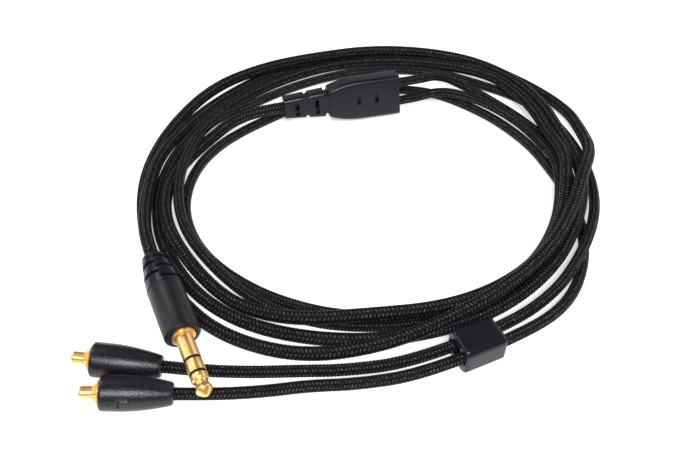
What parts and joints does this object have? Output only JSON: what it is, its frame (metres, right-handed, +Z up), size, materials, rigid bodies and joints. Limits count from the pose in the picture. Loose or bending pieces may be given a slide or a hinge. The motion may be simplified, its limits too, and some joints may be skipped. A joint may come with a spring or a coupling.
{
  "type": "detachable earphone cable",
  "caption": "Detachable in-ear monitor cable, loosely coiled: jack plug, Y-splitter, chin slider and push-on earpiece connectors.",
  "frame": {"origin": "middle of the bounding box, on the surface that the cable lies on", "axes": "+Z up, away from the surface; +X towards the chin slider's side; -Y towards the side that the plug's tip and the connectors lie on"},
  "size_m": [0.116, 0.1242, 0.0115],
  "materials": {
    "braided_sheath": "fine diagonal braid with a soft sheen",
    "moulded_plastic": "satin moulded black plastic",
    "barrel_finish": "satin black shell",
    "housing_plastic": "satin black shell",
    "gold_contact": "polished gold plating",
    "insulator": "black insulating plastic",
    "inner_mould": "moulded filler",
    "copper": "bare copper strands",
    "solder": "dull solder",
    "crimp_metal": "plain metal"
  },
  "bodies": {
    "root": {"main_cable": "braided_sheath", "left_leg_cable": "braided_sheath", "right_leg_cable": "braided_sheath", "splitter_shell": "moulded_plastic", "splitter_boot": "moulded_plastic", "plug_boot": "moulded_plastic", "plug_barrel": "barrel_finish", "left_connector_housing": "housing_plastic", "right_connector_housing": "housing_plastic", "plug_tip_contact": "gold_contact", "plug_ring_contact": "gold_contact", "plug_sleeve_contact": "gold_contact", "left_connector_contact_shell": "gold_contact", "right_connector_contact_shell": "gold_contact", "left_connector_centre_pin": "gold_contact", "right_connector_centre_pin": "gold_contact", "left_connector_body": "gold_contact", "right_connector_body": "gold_contact", "plug_front_insulator": "insulator", "plug_core_insulator": "insulator", "plug_rear_insulator": "insulator", "left_connector_insulator": "insulator", "right_connector_insulator": "insulator", "plug_inner_mould": "inner_mould", "splitter_inner_mould": "inner_mould", "plug_wire_cores": "copper", "left_connector_wires": "copper", "right_connector_wires": "copper", "plug_solder_lugs": "solder", "splitter_splices": "solder", "left_connector_crimp": "crimp_metal", "right_connector_crimp": "crimp_metal"},
    "slider": {"chin_slider": "moulded_plastic"}
  },
  "joints": [
    {"name": "chin_slider_travel", "type": "slide", "parent": "root", "child": "slider", "axis": [-0.91, -0.4147, 0], "range_m": [0, 0.004]}
  ]
}
